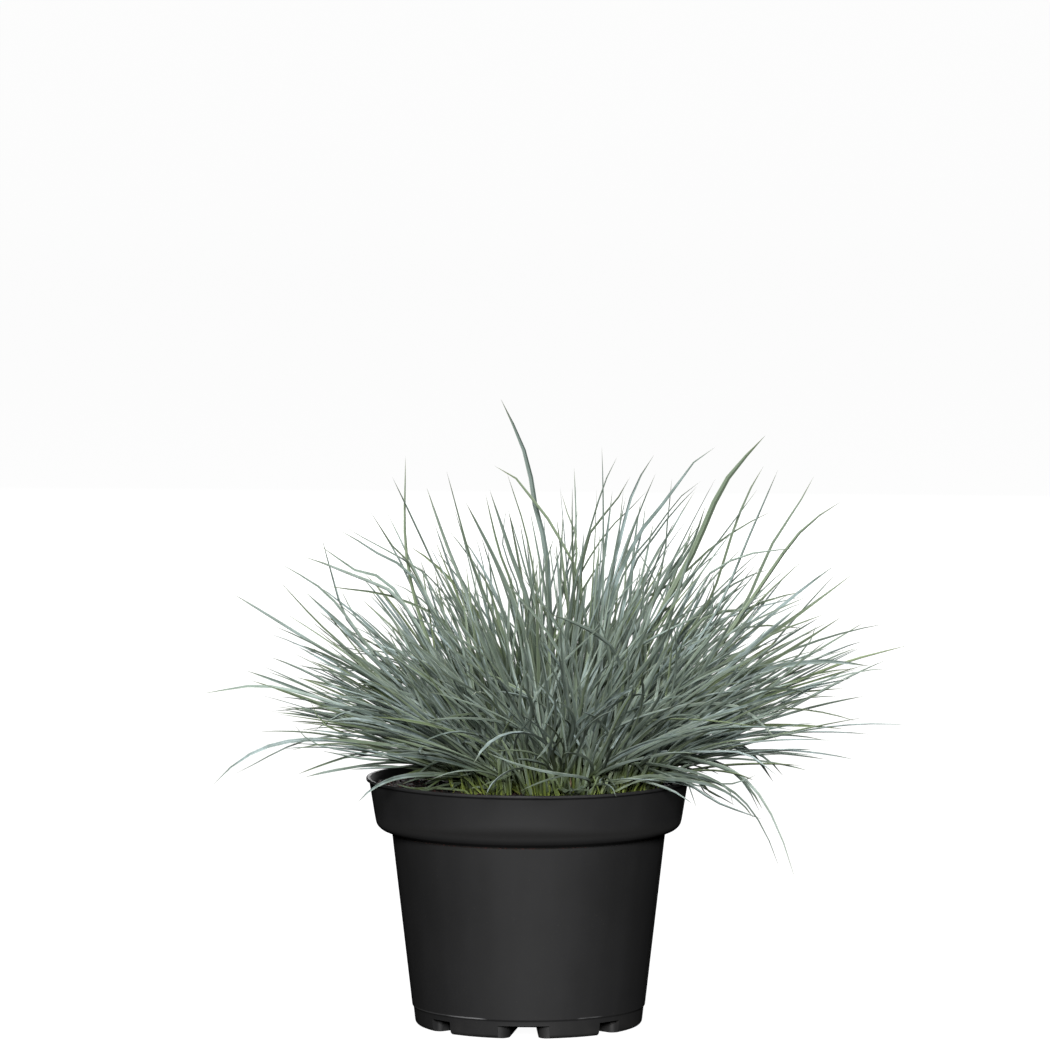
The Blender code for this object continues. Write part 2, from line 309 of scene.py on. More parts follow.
def leafPaint(name, look):
    paint = Paint(name, Metallic=0.0)
    paint.shader.inputs["Specular IOR Level"].default_value = 0.35
    across, along, _ = paint.parts(paint.add("ShaderNodeUVMap", {"uv_map": "bladeMap"}, {}))
    tone = paint.attribute("tone")
    age = paint.attribute("age")
    # across runs 0 to 1 on the inner face and 1 to 2 on the outer one
    outer = across > 1.0
    fromMiddle = abs(across.math("FRACT", across) * 2.0 - 1.0)
    patches = paint.noise(paint.place(), 110.0, 3.0)
    threads = paint.noise(paint.join(across * 9.0, along * 2.5 + tone * 40.0, age * 30.0), 1.0, 3.0)
    # wax colour: deep to pale by the patches and the threads along the blade
    wax = paint.blend(paint.ease(patches * 0.55 + threads * 0.45, 0.36, 0.62),
                      look["bloomDeep"], look["bloom"])
    # each blade is a little lighter or darker than the next
    darker = paint.ease(tone.math("FRACT", tone * 17.0), 0.0, 1.0)
    wax = paint.blend(darker * look["toneShare"], wax, look["bloomDeep"])
    # green share: by the blade's own tone, more towards the tip
    greenShare = paint.ease(tone + along * 0.22 + patches * 0.2, 0.70, 1.15)
    body = paint.blend(greenShare, wax, look["green"])
    body = paint.blend(outer * 0.55, body, look["back"])
    # edge and fold: a pale line along both edges, and painted shade as a dark line in the fold
    body = paint.blend(paint.ease(fromMiddle, 0.70, 0.98) * 0.45, body, look["edge"])
    groove = paint.ease(fromMiddle, 0.30, 0.0) * (1.0 - outer)
    body = paint.blend(groove * 0.45, body, look["back"])
    # foot of the blade: olive that fades up into the wax, its own colour made darker as painted
    # shade low in the clump; lime and straw come over it below
    lower = paint.ease(along + threads * 0.08 + age * 0.12, 0.52, 0.20)
    body = paint.blend(lower * look["footShare"], body, look["olive"])
    # heart of the clump: darker towards the middle of an ellipsoid, partly older blades and partly
    # painted shade between the leaves
    x, y, z = paint.parts(paint.place())
    away = [(part - middle) / half for part, middle, half in
            zip((x, y, z), look["heartPlace"], look["heart"])]
    heart = paint.ease((away[0] ** 2.0 + away[1] ** 2.0 + away[2] ** 2.0) ** 0.5, 1.08, 0.55)
    body = paint.blend(heart * look["heartShadeShare"], body, look["deep"])
    # top of the clump: a little darker, as painted shade
    body = paint.blend(paint.ease(z, 0.170, 0.260) * look["topShadeShare"], body, look["bloomDeep"])
    # crown: olive in patches, near the axis and low down, partly its own colour and partly painted
    # shade
    crown = (paint.ease((x ** 2.0 + y ** 2.0) ** 0.5, *look["crownRadius"])
             * paint.ease(z, *look["crownHeight"]))
    body = paint.blend(crown * (patches * 1.6 - 0.22), body, look["olive"])
    lime = paint.ease(along + threads * 0.06 + age * 0.10, 0.24, 0.09)
    body = paint.blend(lime * look["limeShare"], body, look["sheath"])
    body = paint.blend(paint.ease(along + tone * 0.03, 0.070, 0.02) * 0.8, body, look["straw"])
    body = paint.blend(paint.ease(along, 0.90, 1.0) * 0.6, body, look["tip"])
    # withered share: from the blade's age, worst at its tip
    dry = paint.ease(age + along * 0.25 + patches * 0.1, 1.02, 1.16)
    body = paint.blend(dry, body, look["withered"])
    dull = look["roughness"] + patches * 0.12 + dry * 0.15
    ribs = paint.bump(threads, 0.00012, 0.6)
    paint.wear(Base_Color=body, Roughness=dull, Normal=ribs)
    return paint.material


plasticLook = {
    "black": (0.0094, 0.0094, 0.0097),
    "faded": (0.0120, 0.0120, 0.0125),
    "scuff": (0.20, 0.20, 0.205),
    "dust": (0.060, 0.055, 0.048),
    "inside": (0.0030, 0.0028, 0.0026),
    "roughness": 0.60,
    "specular": 0.37,
    "scuffHeight": 9.0 * mm,
    "insideRadius": (0.0716, 0.0708),
    "insideHeight": (0.090, 0.096),
}


def plasticPaint(look):
    paint = Paint("satinBlackPlastic", Metallic=0.0)
    paint.shader.inputs["Specular IOR Level"].default_value = look["specular"]
    place = paint.place()
    x, y, z = paint.parts(place)
    cloud = paint.noise(place, 22.0, 4.0, 0.6)
    streak = paint.noise(paint.place((90.0, 90.0, 6.0)), 1.0, 3.0)
    speck = paint.noise(place, 1400.0, 2.0)
    worn = paint.ease(cloud * 0.6 + streak * 0.4, 0.35, 0.68)
    body = paint.blend(worn, look["black"], look["faded"])
    # scuffs: a thin band just above the foot's step, broken up along its length, most at the front
    band = paint.ease(abs(z - look["scuffHeight"]), 0.00045, 0.0001)
    broken = paint.ease(paint.noise(paint.place((38.0, 38.0, 300.0)), 1.0, 2.0), 0.50, 0.62)
    scuffed = band * broken * (paint.ease(y, -0.035, -0.048) * 0.8 + 0.2)
    body = paint.blend(scuffed * 0.75, body, look["scuff"])
    # dust: a faint film low on the foot and specks everywhere
    film = paint.ease(z, 0.012, 0.0) * paint.ease(cloud, 0.45, 0.7)
    body = paint.blend(film * 0.25, body, look["dust"])
    body = paint.blend(paint.ease(speck, 0.69, 0.76) * 0.25, body, look["dust"])
    # the inner wall is matt and darker
    inner = (paint.ease((x ** 2.0 + y ** 2.0) ** 0.5, *look["insideRadius"])
             * paint.ease(z, *look["insideHeight"]))
    body = paint.blend(inner * 0.8, body, look["inside"])
    dull = look["roughness"] + inner * 0.25 + cloud * 0.10 + streak * 0.06 + scuffed * 0.2
    skin = paint.noise(place, 2600.0, 2.0)
    swirl = paint.noise(paint.place((1.0, 1.0, 0.45)), 70.0, 2.0)
    bump = paint.bump(skin * 0.035 + swirl * 0.5, 0.0006, 0.35)
    paint.wear(Base_Color=body, Roughness=dull, Normal=bump)
    return paint.material


peatLook = {
    "dark": (0.0022, 0.0016, 0.0013),
    "brown": (0.0110, 0.0056, 0.0036),
    "red": (0.0700, 0.0120, 0.0080),
    "grit": (0.0800, 0.0650, 0.0480),
}


def peatPaint(name, look, redShare):
    paint = Paint(name, Metallic=0.0)
    place = paint.place()
    clods = paint.noise(place, 420.0, 5.0, 0.65)
    fibres = paint.noise(paint.place((700.0, 230.0, 400.0)), 1.0, 3.0)
    body = paint.blend(paint.ease(clods, 0.42, 0.66), look["dark"], look["brown"])
    body = paint.blend(paint.ease(fibres, 0.50, 0.70) * redShare, body, look["red"])
    body = paint.blend(paint.ease(paint.noise(place, 900.0, 2.0), 0.72, 0.78), body, look["grit"])
    paint.wear(Base_Color=body, Roughness=0.80 + clods * 0.15,
               Normal=paint.bump(clods + fibres * 0.6, 0.0012, 0.9))
    return paint.material


potShape = {
    "steps": 208,
    "wall": 1.1,
    "lip": (75.0, 1.3),          # radius and height of the lip's outer band
    "collar": (73.6, 70.9, 95.5),    # top radius, low radius, height of the low one
    "shoulder": (63.3, 89.3),        # radius and height where the body starts
    "step": (54.0, 8.8),
    "foot": (53.4, 52.6),
    "floorTop": 7.2,
    "notchHeight": 6.0,
    "notchTurn": -2.6,
    "sideBearing": 47.3,
    "wide": (23.7, 13.0),        # notch width, channel width
    "narrow": (12.6, 8.0),
    "innerChannel": 8.4,
    "ring": (11.0, 20.0, 5.5),   # inner radius, outer radius and height of the ring channel
    "drains": (8, 4.0),
    "waviness": 0.30,
    "sharpFrom": 38.0,           # degrees
}


def roundedCorners(points, cuts, steps=4):
    # each corner becomes a curve p(t) = (1-t)^2 a + 2t(1-t) corner + t^2 b, with a and b a cut
    # away from it
    line = [points[0]]
    for before, corner, after, cut in zip(points[:-2], points[1:-1], points[2:], cuts[1:-1]):
        before, corner, after = map(np.array, (before, corner, after))
        a = corner + unit(before - corner) * min(cut, 0.48 * np.linalg.norm(before - corner))
        b = corner + unit(after - corner) * min(cut, 0.48 * np.linalg.norm(after - corner))
        for t in np.linspace(0.0, 1.0, steps):
            line.append(tuple((1 - t) ** 2 * a + 2 * t * (1 - t) * corner + t * t * b))
    line.append(points[-1])
    return np.array(line)


def potSection():
    # inner wall from the axis up to the lip, then the outer wall down to the axis again
    shape = potShape
    height = potHigh.z / mm
    lipR, lipBand = shape["lip"]
    topR, lowR, lowZ = shape["collar"]
    bodyR, shoulderZ = shape["shoulder"]
    stepR, stepZ = shape["step"]
    footTop, footLow = shape["foot"]
    wall = shape["wall"]
    rows = [
        # radius, height, corner cut
        (0.0, shape["floorTop"], 0.0),
        (stepR - 2.0 * wall, shape["floorTop"], 1.0),
        (stepR - wall, stepZ + 0.5 * wall, 0.6),
        (bodyR - wall, shoulderZ + 0.7, 2.0),
        (lowR - 2.0 * wall, lowZ - 2.2, 1.5),
        (lowR - wall, lowZ + 0.3, 1.5),
        (topR - wall - 0.15, height - 3.1, 1.2),
        (lipR - 1.6, height - 0.15, 0.5),
        (lipR - 0.9, height, 0.4),
        (lipR - 0.1, height - 0.10, 0.35),
        (lipR, height - 0.6, 0.3),
        (lipR, height - lipBand, 0.35),
        (topR, height - lipBand - 0.6, 0.5),
        (lowR, lowZ, 2.6),
        (lowR - 0.6, lowZ - 2.4, 1.0),
        (lowR - 2.4, lowZ - 4.2, 1.0),
        (bodyR, shoulderZ, 0.6),
        (stepR, stepZ, 0.35),
        (footTop, stepZ - 0.7, 0.35),
        (footLow, 1.1, 0.8),
        (footLow - 1.1, 0.0, 0.6),
        (0.0, 0.0, 0.0),
    ]
    cuts = [row[2] for row in rows]
    return roundedCorners([row[:2] for row in rows], cuts) * mm


def turnedMesh(name, section, steps, wobble=None):
    # point (u, v): section v turned by angle u, both ends of the section on the axis
    turn = np.linspace(0.0, 2.0 * np.pi, steps, endpoint=False)
    inner = section[1:-1]
    radius = inner[None, :, 0] * np.ones((steps, 1))
    height = inner[None, :, 1] * np.ones((steps, 1))
    if wobble is not None:
        radius, height = wobble(turn[:, None], radius, height)
    ring = np.stack([radius * np.cos(turn)[:, None], radius * np.sin(turn)[:, None], height], -1)
    poles = np.array([[0.0, 0.0, section[0, 1]], [0.0, 0.0, section[-1, 1]]])
    points = np.concatenate([ring.reshape(-1, 3), poles])
    across = len(inner)
    index = np.arange(steps * across).reshape(steps, across)
    quads, after = gridQuads(index)
    first, last = steps * across, steps * across + 1
    top = np.stack([np.full(steps, first), index[:, 0], after[:, 0]], -1)
    bottom = np.stack([np.full(steps, last), after[:, -1], index[:, -1]], -1)
    return meshFrom(name, points, [quads, top, bottom])


def prismMesh(name, outline, low, high):
    # a flat outline (n, 2), anticlockwise, raised from low to high
    count = len(outline)
    lowRing = np.column_stack([outline, np.full(count, low)])
    highRing = np.column_stack([outline, np.full(count, high)])
    index = np.arange(count)
    after = np.roll(index, -1)
    sides = np.stack([index, after, after + count, index + count], -1)
    caps = np.stack([index[::-1], index + count])
    return meshFrom(name, np.concatenate([lowRing, highRing]), [sides, caps], smooth=False)


def channelOutline(bearing, notch, channel):
    # a strip from the ring channel to outside the foot; its sides flare to the notch as quarter
    # circles: half width = channel / 2 + flare (1 - cos t)
    wallR = potShape["foot"][1] - 2.0 * potShape["wall"]
    flare = (notch - channel) / 2.0
    turn = np.radians(np.linspace(0.0, 90.0, 8))
    outside = 80.0
    reach = np.concatenate([[potShape["ring"][1] - 4.0], wallR - flare + flare * np.sin(turn),
                            [outside]])
    half = np.concatenate([[min(potShape["innerChannel"], channel) / 2.0],
                           channel / 2.0 + flare * (1.0 - np.cos(turn)), [notch / 2.0]])
    angle = math.radians(bearing - 90.0)
    ahead = np.array([math.cos(angle), math.sin(angle)])
    aside = np.array([-math.sin(angle), math.cos(angle)])
    right = reach[:, None] * ahead - half[:, None] * aside
    left = reach[:, None] * ahead + half[:, None] * aside
    return np.concatenate([right, left[::-1]]) * mm


def potCutters():
    shape = potShape
    below = -1.0 * mm
    meshes = []
    for wideTurn in (0.0, 180.0):
        middle = wideTurn + shape["notchTurn"]
        meshes.append(prismMesh("notch", channelOutline(middle, *shape["wide"]),
                                below, shape["notchHeight"] * mm))
        for side in (-shape["sideBearing"], shape["sideBearing"]):
            meshes.append(prismMesh("notch", channelOutline(middle + side, *shape["narrow"]),
                                    below, shape["notchHeight"] * mm))
    count, drainR = shape["drains"]
    innerR, outerR, ringTop = shape["ring"]
    circle = np.linspace(0.0, 2.0 * np.pi, 24, endpoint=False)
    for turn in (np.arange(count) + 0.5) * 2.0 * np.pi / count:
        middle = np.array([math.cos(turn), math.sin(turn)]) * (innerR + outerR) / 2.0
        hole = (middle + drainR * np.column_stack([np.cos(circle), np.sin(circle)])) * mm
        meshes.append(prismMesh("drain", hole, ringTop * mm - 0.002, 0.012))
    return meshes


def ringCutter():
    # a square section carried round the axis, closed on itself
    innerR, outerR, top = potShape["ring"]
    section = np.array([[outerR, top], [innerR, top], [innerR, -1.0], [outerR, -1.0]]) * mm
    steps = 64
    turn = np.linspace(0.0, 2.0 * np.pi, steps, endpoint=False)[:, None]
    ring = np.stack([section[:, 0] * np.cos(turn), section[:, 0] * np.sin(turn),
                     section[:, 1] + 0.0 * turn], -1)
    index = np.arange(steps * 4).reshape(steps, 4)
    after = np.roll(index, -1, axis=0)
    quads = np.stack([index, np.roll(index, -1, axis=1), np.roll(after, -1, axis=1), after], -1)
    return meshFrom("ring", ring.reshape(-1, 3), [quads.reshape(-1, 4)], smooth=False)


def buildPot():
    def wobble(turn, radius, height):
        # the soft rim: small waves, only near the top
        near = smooth(height, 0.080, potHigh.z)
        wave = np.sin(2.0 * turn + 0.6) + 0.5 * np.sin(3.0 * turn + 2.0) + 0.35 * np.sin(7.0 * turn)
        lift = potShape["waviness"] * mm * near * wave * 0.5
        ripple = np.sin(2.0 * turn + 2.2) + 0.4 * np.sin(5.0 * turn)
        push = potShape["waviness"] * mm * near * ripple
        return radius + push * (radius > 0.04), height + lift

    body = turnedMesh("nurseryPot", potSection(), potShape["steps"], wobble)
    pot = newPiece("nurseryPot", body, plasticPaint(plasticLook), ["nursery_pot"])
    tools = []
    for mesh in [ringCutter()] + potCutters():
        tool = bpy.data.objects.new("cutter", mesh)
        bpy.context.scene.collection.objects.link(tool)
        tools.append(tool)
        cut = pot.modifiers.new("cut", "BOOLEAN")
        cut.operation = "DIFFERENCE"
        cut.solver = "EXACT"
        cut.object = tool
    seen = bpy.context.evaluated_depsgraph_get()
    finished = bpy.data.meshes.new_from_object(pot.evaluated_get(seen))
    pot.modifiers.clear()
    pot.data = finished
    for tool in tools:
        bpy.data.objects.remove(tool, do_unlink=True)
    finished.polygons.foreach_set("use_smooth", np.ones(len(finished.polygons), bool))
    finished.set_sharp_from_angle(angle=math.radians(potShape["sharpFrom"]))
    print("pot:", len(finished.polygons), "faces")


soilShape = {
    "seed": 5,
    "steps": 300,
    "rings": 62,
    "lumps": 1.6,       # mm, height of the clods
    "baseR": 49.5 * mm,
    "crumbs": 420,
    "crumbSize": (0.5, 1.7),
    "fibres": 190,
    "fibreLength": (5.0, 17.0),
}


def roughness(x, y, rng, scales, count=26):
    # sum of plane waves with random direction and phase, each as high as its wave is long
    total = np.zeros_like(x)
    for scale in scales:
        turn = rng.uniform(0.0, 2.0 * np.pi, count)
        phase = rng.uniform(0.0, 2.0 * np.pi, count)
        length = scale * rng.uniform(0.7, 1.4, count)
        for a, b, c in zip(turn, phase, length):
            total += c / scales[0] * np.sin((x * np.cos(a) + y * np.sin(a)) * 2.0 * np.pi / c + b)
    return total / math.sqrt(count)


def buildSoil():
    # top at (r, u): height = soil top - 0.6 mm (r / R)^2 + lumps(x, y); below it a turned skirt
    rng = np.random.default_rng(soilShape["seed"])
    edgeR = soilHigh.x - 0.6 * mm
    base = soilLow.z
    reach = np.linspace(0.0, 1.0, soilShape["rings"] + 1)[1:] * edgeR
    turn = np.linspace(0.0, 2.0 * np.pi, soilShape["steps"], endpoint=False)
    x = reach[None, :] * np.cos(turn)[:, None]
    y = reach[None, :] * np.sin(turn)[:, None]
    lumps = roughness(x, y, rng, [11.0 * mm, 5.0 * mm, 2.6 * mm]) * soilShape["lumps"] * mm * 0.5
    even = soilHigh.z - 1.0 * mm - 0.6 * mm * (reach / edgeR) ** 2
    height = even[None, :] + np.clip(lumps, -1.6 * mm, 1.5 * mm)
    top = np.stack([x, y, height], -1)
    # the sides go down inside the pot to its floor
    lower = np.array([[edgeR - 2.6 * mm, soilHigh.z - 16.0 * mm],
                      [edgeR - 10.3 * mm, soilHigh.z - 26.0 * mm],
                      [soilShape["baseR"] + 1.3 * mm, base + 2.0 * mm],
                      [soilShape["baseR"], base]])
    skirt = np.stack([lower[:, 0] * np.cos(turn)[:, None], lower[:, 0] * np.sin(turn)[:, None],
                      lower[:, 1] + 0.0 * turn[:, None]], -1)
    grid = np.concatenate([top, skirt], axis=1)
    across = grid.shape[1]
    poles = np.array([[0.0, 0.0, soilHigh.z - 0.001], [0.0, 0.0, base]])
    points = np.concatenate([grid.reshape(-1, 3), poles])
    index = np.arange(soilShape["steps"] * across).reshape(-1, across)
    quads, after = gridQuads(index)
    count = soilShape["steps"]
    lid = np.stack([np.full(count, len(points) - 2), index[:, 0], after[:, 0]], -1)
    bottom = np.stack([np.full(count, len(points) - 1), after[:, -1], index[:, -1]], -1)
    mesh = meshFrom("peat", points, [quads, lid, bottom])
    newPiece("peat", mesh, peatPaint("peat", peatLook, 0.55), ["potting_soil"])

    # crumbs: an octahedron cut once more, pushed in and out at random, many times over
    corners, faces = ballPoints()
    size = rng.uniform(*soilShape["crumbSize"], soilShape["crumbs"]) * mm
    spread = np.sqrt(rng.uniform(0.02, 0.985, len(size))) * (edgeR - 2.0 * mm)
    turn = rng.uniform(0.0, 2.0 * np.pi, len(size))
    squash = rng.uniform(0.6, 1.2, (len(size), 1, 3))
    bumps = rng.uniform(0.72, 1.18, (len(size), len(corners), 1))
    middle = np.column_stack([spread * np.cos(turn), spread * np.sin(turn),
                              soilHigh.z - 0.4 * mm + rng.uniform(-0.6, 0.9, len(size)) * mm])
    points = middle[:, None] + corners[None] * squash * bumps * size[:, None, None] * 0.6
    offset = (np.arange(len(size)) * len(corners))[:, None, None]
    mesh = meshFrom("crumbs", points.reshape(-1, 3), [(faces[None] + offset).reshape(-1, 3)])
    newPiece("crumbs", mesh, peatPaint("peatCrumbs", peatLook, 0.8), ())

    # fibres: thin tubes along short bent lines that lie on the soil
    number = soilShape["fibres"]
    length = rng.uniform(*soilShape["fibreLength"], number) * mm
    spread = np.sqrt(rng.uniform(0.05, 0.93, number)) * (edgeR - 5.0 * mm)
    turn = rng.uniform(0.0, 2.0 * np.pi, number)
    heading = rng.uniform(0.0, 2.0 * np.pi, number)
    share = np.linspace(0.0, 1.0, 7)
    bend = rng.normal(0.0, 1.0, (number, 1)) * share
    step = length[:, None] / 6.0
    dx = np.cumsum(np.cos(heading[:, None] + bend) * step, axis=1)
    dy = np.cumsum(np.sin(heading[:, None] + bend) * step, axis=1)
    px = (spread * np.cos(turn))[:, None] + dx - dx.mean(1, keepdims=True)
    py = (spread * np.sin(turn))[:, None] + dy - dy.mean(1, keepdims=True)
    far = np.hypot(px, py)
    keep = np.minimum(1.0, (edgeR - 1.0 * mm) / far)
    rise = rng.uniform(0.1, 1.3, (number, 1)) * np.sin(np.pi * share) * mm
    path = np.stack([px * keep, py * keep, soilHigh.z + 0.0 * px - 0.3 * mm + rise], -1)
    mesh = tubesMesh("soilFibres", path, rng.uniform(0.10, 0.24, number) * mm, 4)
    newPiece("soilFibres", mesh, peatPaint("peatFibre", peatLook, 1.0), ())
    print("soil done")


def ballPoints():
    # an octahedron whose faces are cut in four, pushed out to a unit ball
    base = np.array([[1, 0, 0], [-1, 0, 0], [0, 1, 0], [0, -1, 0], [0, 0, 1], [0, 0, -1]], float)
    faces = [(0, 2, 4), (2, 1, 4), (1, 3, 4), (3, 0, 4), (2, 0, 5), (1, 2, 5), (3, 1, 5), (0, 3, 5)]
    points = [tuple(p) for p in base]
    middles = {}

    def middle(a, b):
        key = (min(a, b), max(a, b))
        if key not in middles:
            middles[key] = len(points)
            points.append(tuple(unit(base[a] + base[b])))
        return middles[key]

    small = []
    for a, b, c in faces:
        ab, bc, ca = middle(a, b), middle(b, c), middle(c, a)
        small += [(a, ab, ca), (b, bc, ab), (c, ca, bc), (ab, bc, ca)]
    return np.array(points), np.array(small)


def tubesMesh(name, path, radius, sides):
    # many thin tubes at once: path + radius (aside cos t + other sin t), closed at both ends
    along = unit(np.gradient(path, axis=1))
    aside = unit(np.cross(along, upward) + 1e-9)
    other = np.cross(aside, along)
    turn = np.linspace(0.0, 2.0 * np.pi, sides, endpoint=False)
    taper = np.array([0.5] + [1.0] * (path.shape[1] - 2) + [0.4])
    size = radius[:, None, None, None] * taper[None, :, None, None]
    ring = path[:, :, None] + size * (aside[:, :, None] * np.cos(turn)[:, None]
                                      + other[:, :, None] * np.sin(turn)[:, None])
    many, steps = path.shape[:2]
    index = np.arange(many * steps * sides).reshape(many, steps, sides)
    here, after = index, np.roll(index, -1, axis=2)
    quads = np.stack([here[:, :-1], after[:, :-1], after[:, 1:], here[:, 1:]], -1).reshape(-1, 4)
    ends = np.concatenate([index[:, 0, ::-1], index[:, -1]])
    return meshFrom(name, ring.reshape(-1, 3), [quads, ends])


bladeShape = {
    "rings": 14,
    "thickness": 0.28,      # mm at the fold of a blade that is 2 mm wide
    "footWidth": 0.60,      # width at the foot as a share of the widest
    "taper": (5.0, 12.0),   # the higher, the nearer to its tip a blade starts to narrow
    "margin": 0.12,         # share of each strip of the texture map that is left empty
    "sharpFrom": 24.0,      # degrees
}


def bladeSheet(path, look):
    # many blades at once. Section of a blade at share s of its length: a shallow V of half
    # width w(s) = W (foot + (1 - foot) rise(s)) (1 - s^taper), its arms raised by the fold
    # angle, carried along the path with a twist that grows with s
    many, steps = path.shape[:2]
    s = np.linspace(0.0, 1.0, steps)[None]
    tangent = unit(np.gradient(path, axis=1))
    chord = path[:, -1] - path[:, 0]
    flat = unit(chord * level)
    binormal = np.cross(flat, upward)[:, None]
    binormal = unit(binormal - (binormal * tangent).sum(-1, keepdims=True) * tangent)
    normal = np.cross(binormal, tangent)
    roll = (look["roll"][:, None] + look["twist"][:, None] * s)[..., None]
    right = binormal * np.cos(roll) + normal * np.sin(roll)
    up = normal * np.cos(roll) - binormal * np.sin(roll)
    foot = bladeShape["footWidth"]
    rise = smooth(s, 0.0, 0.36)
    taper = 1.0 - s ** look["taper"][:, None]
    width = look["width"][:, None] * 0.5 * (foot + (1.0 - foot) * rise) * taper
    fold = look["fold"][:, None] * (1.25 - 0.35 * rise)
    out = (width * np.cos(fold))[..., None]
    lift = (width * np.sin(fold))[..., None]
    thick = (bladeShape["thickness"] * mm * (0.35 + 0.65 * width / (1.0 * mm)))[..., None]
    leftEdge = path - right * out + up * lift
    groove = path + up * thick * 0.30
    rightEdge = path + right * out + up * lift
    keel = path - up * thick * 0.70
    rings = np.stack([leftEdge, groove, rightEdge, keel], axis=2)[:, :-1]
    return rings.reshape(many, -1, 3), path[:, -1]


def bladeMesh(name, path, look):
    # the sheet's sections joined along each path into a closed blade, its tip one point; the
    # maps give share of the width and of the length
    many, steps = path.shape[:2]
    rings, tips = bladeSheet(path, look)
    per = rings.shape[1] + 1
    points = np.concatenate([rings, tips[:, None]], axis=1).reshape(-1, 3)
    ring = np.arange(steps - 1)
    # corner order: 0 left edge, 1 groove, 2 right edge, 3 keel
    pairs = np.array([[0, 1], [1, 2], [2, 3], [3, 0]])
    low = ring[:-1, None] * 4
    first, second = pairs[:, 0], pairs[:, 1]
    quads = np.stack([low + second, low + first, low + 4 + first, low + 4 + second], -1)
    quads = quads.reshape(-1, 4)
    last = (steps - 2) * 4
    tip = np.stack([last + second, last + first, np.full(4, (steps - 1) * 4)], -1)
    cap = np.array([[0, 1, 2, 3]])
    offset = (np.arange(many) * per)[:, None, None]
    faces = [(quads + offset).reshape(-1, 4), (tip + offset).reshape(-1, 3),
             (cap + offset).reshape(-1, 4)]
    mesh = meshFrom(name, points, faces)
    # across: 0 to 1 over the inner face, 1 to 2 over the outer one; along: 0 foot, 1 tip
    acrossLow = np.array([0.0, 0.5, 1.0, 1.5])
    acrossHigh = np.array([0.5, 1.0, 1.5, 2.0])
    share = np.linspace(0.0, 1.0, steps)
    quadU = np.broadcast_to(np.stack([acrossHigh, acrossLow, acrossLow, acrossHigh], -1),
                            (steps - 2, 4, 4))
    ends = np.stack([share[:-2], share[:-2], share[1:-1], share[1:-1]], -1)
    quadV = np.broadcast_to(ends[:, None], (steps - 2, 4, 4))
    tipU = np.stack([acrossHigh, acrossLow, (acrossLow + acrossHigh) / 2.0], -1)
    tipV = np.broadcast_to(np.array([share[-2], share[-2], 1.0]), (4, 3))
    capU = np.array([[0.1, 0.5, 0.9, 0.5]])
    capV = np.array([[0.001, 0.0, 0.001, 0.002]])

    def tiled(part):
        return np.broadcast_to(part, (many,) + part.shape).reshape(many, -1)

    order = [(quadU, quadV), (tipU, tipV), (capU, capV)]
    u = np.concatenate([tiled(a).ravel() for a, _ in order])
    v = np.concatenate([tiled(b).ravel() for _, b in order])
    which = np.concatenate([np.repeat(np.arange(many), a.size) for a, _ in order])
    isCap = np.concatenate([np.full(many * a.size, k == 2) for k, (a, _) in enumerate(order)])
    mapped = mesh.uv_layers.new(name="bladeMap")
    mapped.data.foreach_set("uv", np.stack([u, v], -1).astype(np.float32).ravel())
    # the second map lays every face of every blade in a strip of its own
    margin = bladeShape["margin"]
    outer = np.floor(np.clip(u, 0.0, 1.999))
    facing = np.concatenate([tiled(faceSide(a)).ravel() for a, _ in order])
    local = (u - facing) * (1.0 - margin) + margin / 2.0
    strip = which * 2 + facing
    sheetU = (strip + local) / (2 * many)
    sheetV = np.where(isCap, v * 5.0, 0.03 + v * 0.965)
    laid = mesh.uv_layers.new(name="OFBake")
    laid.data.foreach_set("uv", np.stack([sheetU, sheetV], -1).astype(np.float32).ravel())
    for key in ("tone", "age"):
        values = np.repeat(look[key], per).astype(np.float32)
        mesh.attributes.new(key, "FLOAT", "POINT").data.foreach_set("value", values)
    mesh.set_sharp_from_angle(angle=math.radians(bladeShape["sharpFrom"]))
    return mesh


def faceSide(across):
    # 0 for a face of the inner side, 1 for one of the outer, repeated for each of its corners
    side = (across.mean(-1, keepdims=True) > 1.0).astype(float)
    return np.broadcast_to(side, across.shape)


clump = {
    "seed": 31,
    "blades": 19,               # in each tiller
    "length": (0.48, 0.92),     # share of the tiller's own length
    "width": (1.2, 2.8),        # mm
    "spread": 17.0,             # degrees that a blade turns away from its tiller
    "spreadMost": 50.0,
    "wildShare": 0.24,          # blades that turn further and bend more than the rest
    "droop": 0.46,
    "curl": 0.42,
    "sway": 0.10,
    "footSpread": 4.0,          # mm
    "footDepth": 3.0,           # mm that a blade starts below its tiller's foot
    "roll": 0.75,               # radians that a blade is turned about its own line, at its foot
    "twist": 0.9,               # and how much further at its tip
    "fold": (30.0, 64.0),
    "greenShare": 0.20,
    "witheredShare": 0.0,
}


def nodePoints(name):
    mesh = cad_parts[name].data
    points = np.zeros(len(mesh.vertices) * 3)
    mesh.vertices.foreach_get("co", points)
    return points.reshape(-1, 3)


def tillerLines():
    # foot, middle and tip of each tiller, from its own solid
    lines = []
    for name in tillerNodes:
        points = nodePoints(name)
        low = points[points[:, 2] < points[:, 2].min() + 1.5 * mm].mean(0)
        far = np.linalg.norm(points - low, axis=1)
        tip = points[far.argmax()]
        half = points[np.abs(far / far.max() - 0.5) < 0.12].mean(0)
        lines.append((low, half, tip))
    return np.array(lines)


